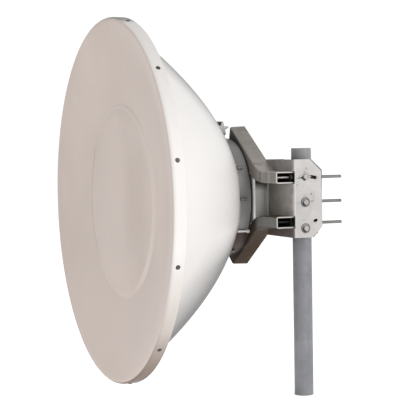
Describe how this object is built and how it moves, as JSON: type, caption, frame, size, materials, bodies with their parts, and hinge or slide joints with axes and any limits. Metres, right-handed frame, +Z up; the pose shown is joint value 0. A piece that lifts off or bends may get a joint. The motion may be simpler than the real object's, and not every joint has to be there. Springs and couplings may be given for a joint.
{
  "type": "parabolic dish antenna",
  "caption": "Round parabolic dish antenna with a dished-in radome, back drum and bent channel arms, clamped to a vertical steel post by a folded bracket, saddles and threaded rods.",
  "frame": {"origin": "centre of the post's bottom face", "axes": "+Z up the post, -Y the way the dish looks, +X to the side of the dish on which the post stands"},
  "size_m": [1.2, 0.6822, 1.24],
  "materials": {
    "zinc_steel": "weathered hot-dip zinc",
    "cap_plastic": "satin grey plastic",
    "radome_plastic": "matt beige, lightly dirty",
    "reflector_paint": "white powder coat on spun aluminium",
    "drum_metal": "dull grey aluminium",
    "gasket_rubber": "black rubber",
    "feed_metal": "plain machined aluminium",
    "bracket_metal": "galvanised, light grey with dull patches",
    "fastener_steel": "stainless"
  },
  "bodies": {
    "mast": {"pole": "zinc_steel", "pole_cap": "cap_plastic"},
    "clamp": {"pole_cradle": "zinc_steel", "saddle_top": "zinc_steel", "saddle_middle": "zinc_steel", "saddle_bottom": "zinc_steel", "clamp_rod_top_near": "fastener_steel", "clamp_rod_top_far": "fastener_steel", "clamp_rod_middle_near": "fastener_steel", "clamp_rod_middle_far": "fastener_steel", "clamp_rod_bottom_near": "fastener_steel", "clamp_rod_bottom_far": "fastener_steel", "clamp_nut_top_near": "fastener_steel", "clamp_nut_top_far": "fastener_steel", "clamp_nut_middle_near": "fastener_steel", "clamp_nut_middle_far": "fastener_steel", "clamp_nut_bottom_near": "fastener_steel", "clamp_nut_bottom_far": "fastener_steel", "pivot_bolt_near": "fastener_steel", "pivot_bolt_far": "fastener_steel", "middle_bolt_near": "fastener_steel", "middle_bolt_far": "fastener_steel", "upper_bolt_near": "fastener_steel", "upper_bolt_far": "fastener_steel"},
    "dish": {"radome": "radome_plastic", "reflector": "reflector_paint", "rim_flange": "reflector_paint", "feed_horn": "feed_metal", "feed_hub": "feed_metal", "back_drum": "drum_metal", "drum_gasket": "gasket_rubber", "mounting_ring": "feed_metal", "upper_arm": "bracket_metal", "lower_arm": "bracket_metal", "arm_web": "bracket_metal", "mast_bracket": "bracket_metal", "arm_screw_upper_near": "fastener_steel", "arm_screw_lower_near": "fastener_steel", "arm_screw_upper_far": "fastener_steel", "arm_screw_lower_far": "fastener_steel", "knob_bracket": "cap_plastic", "star_knob": "fastener_steel"}
  },
  "joints": [
    {"name": "azimuth", "type": "hinge", "parent": "mast", "child": "clamp", "pos_m": [0, 0, 0.64], "axis": [0, 0, 1], "range_deg": [-180, 180]},
    {"name": "elevation", "type": "hinge", "parent": "clamp", "child": "dish", "pos_m": [0, -0.034, 0.549], "axis": [1, 0, 0], "range_deg": [-4, 4]}
  ]
}
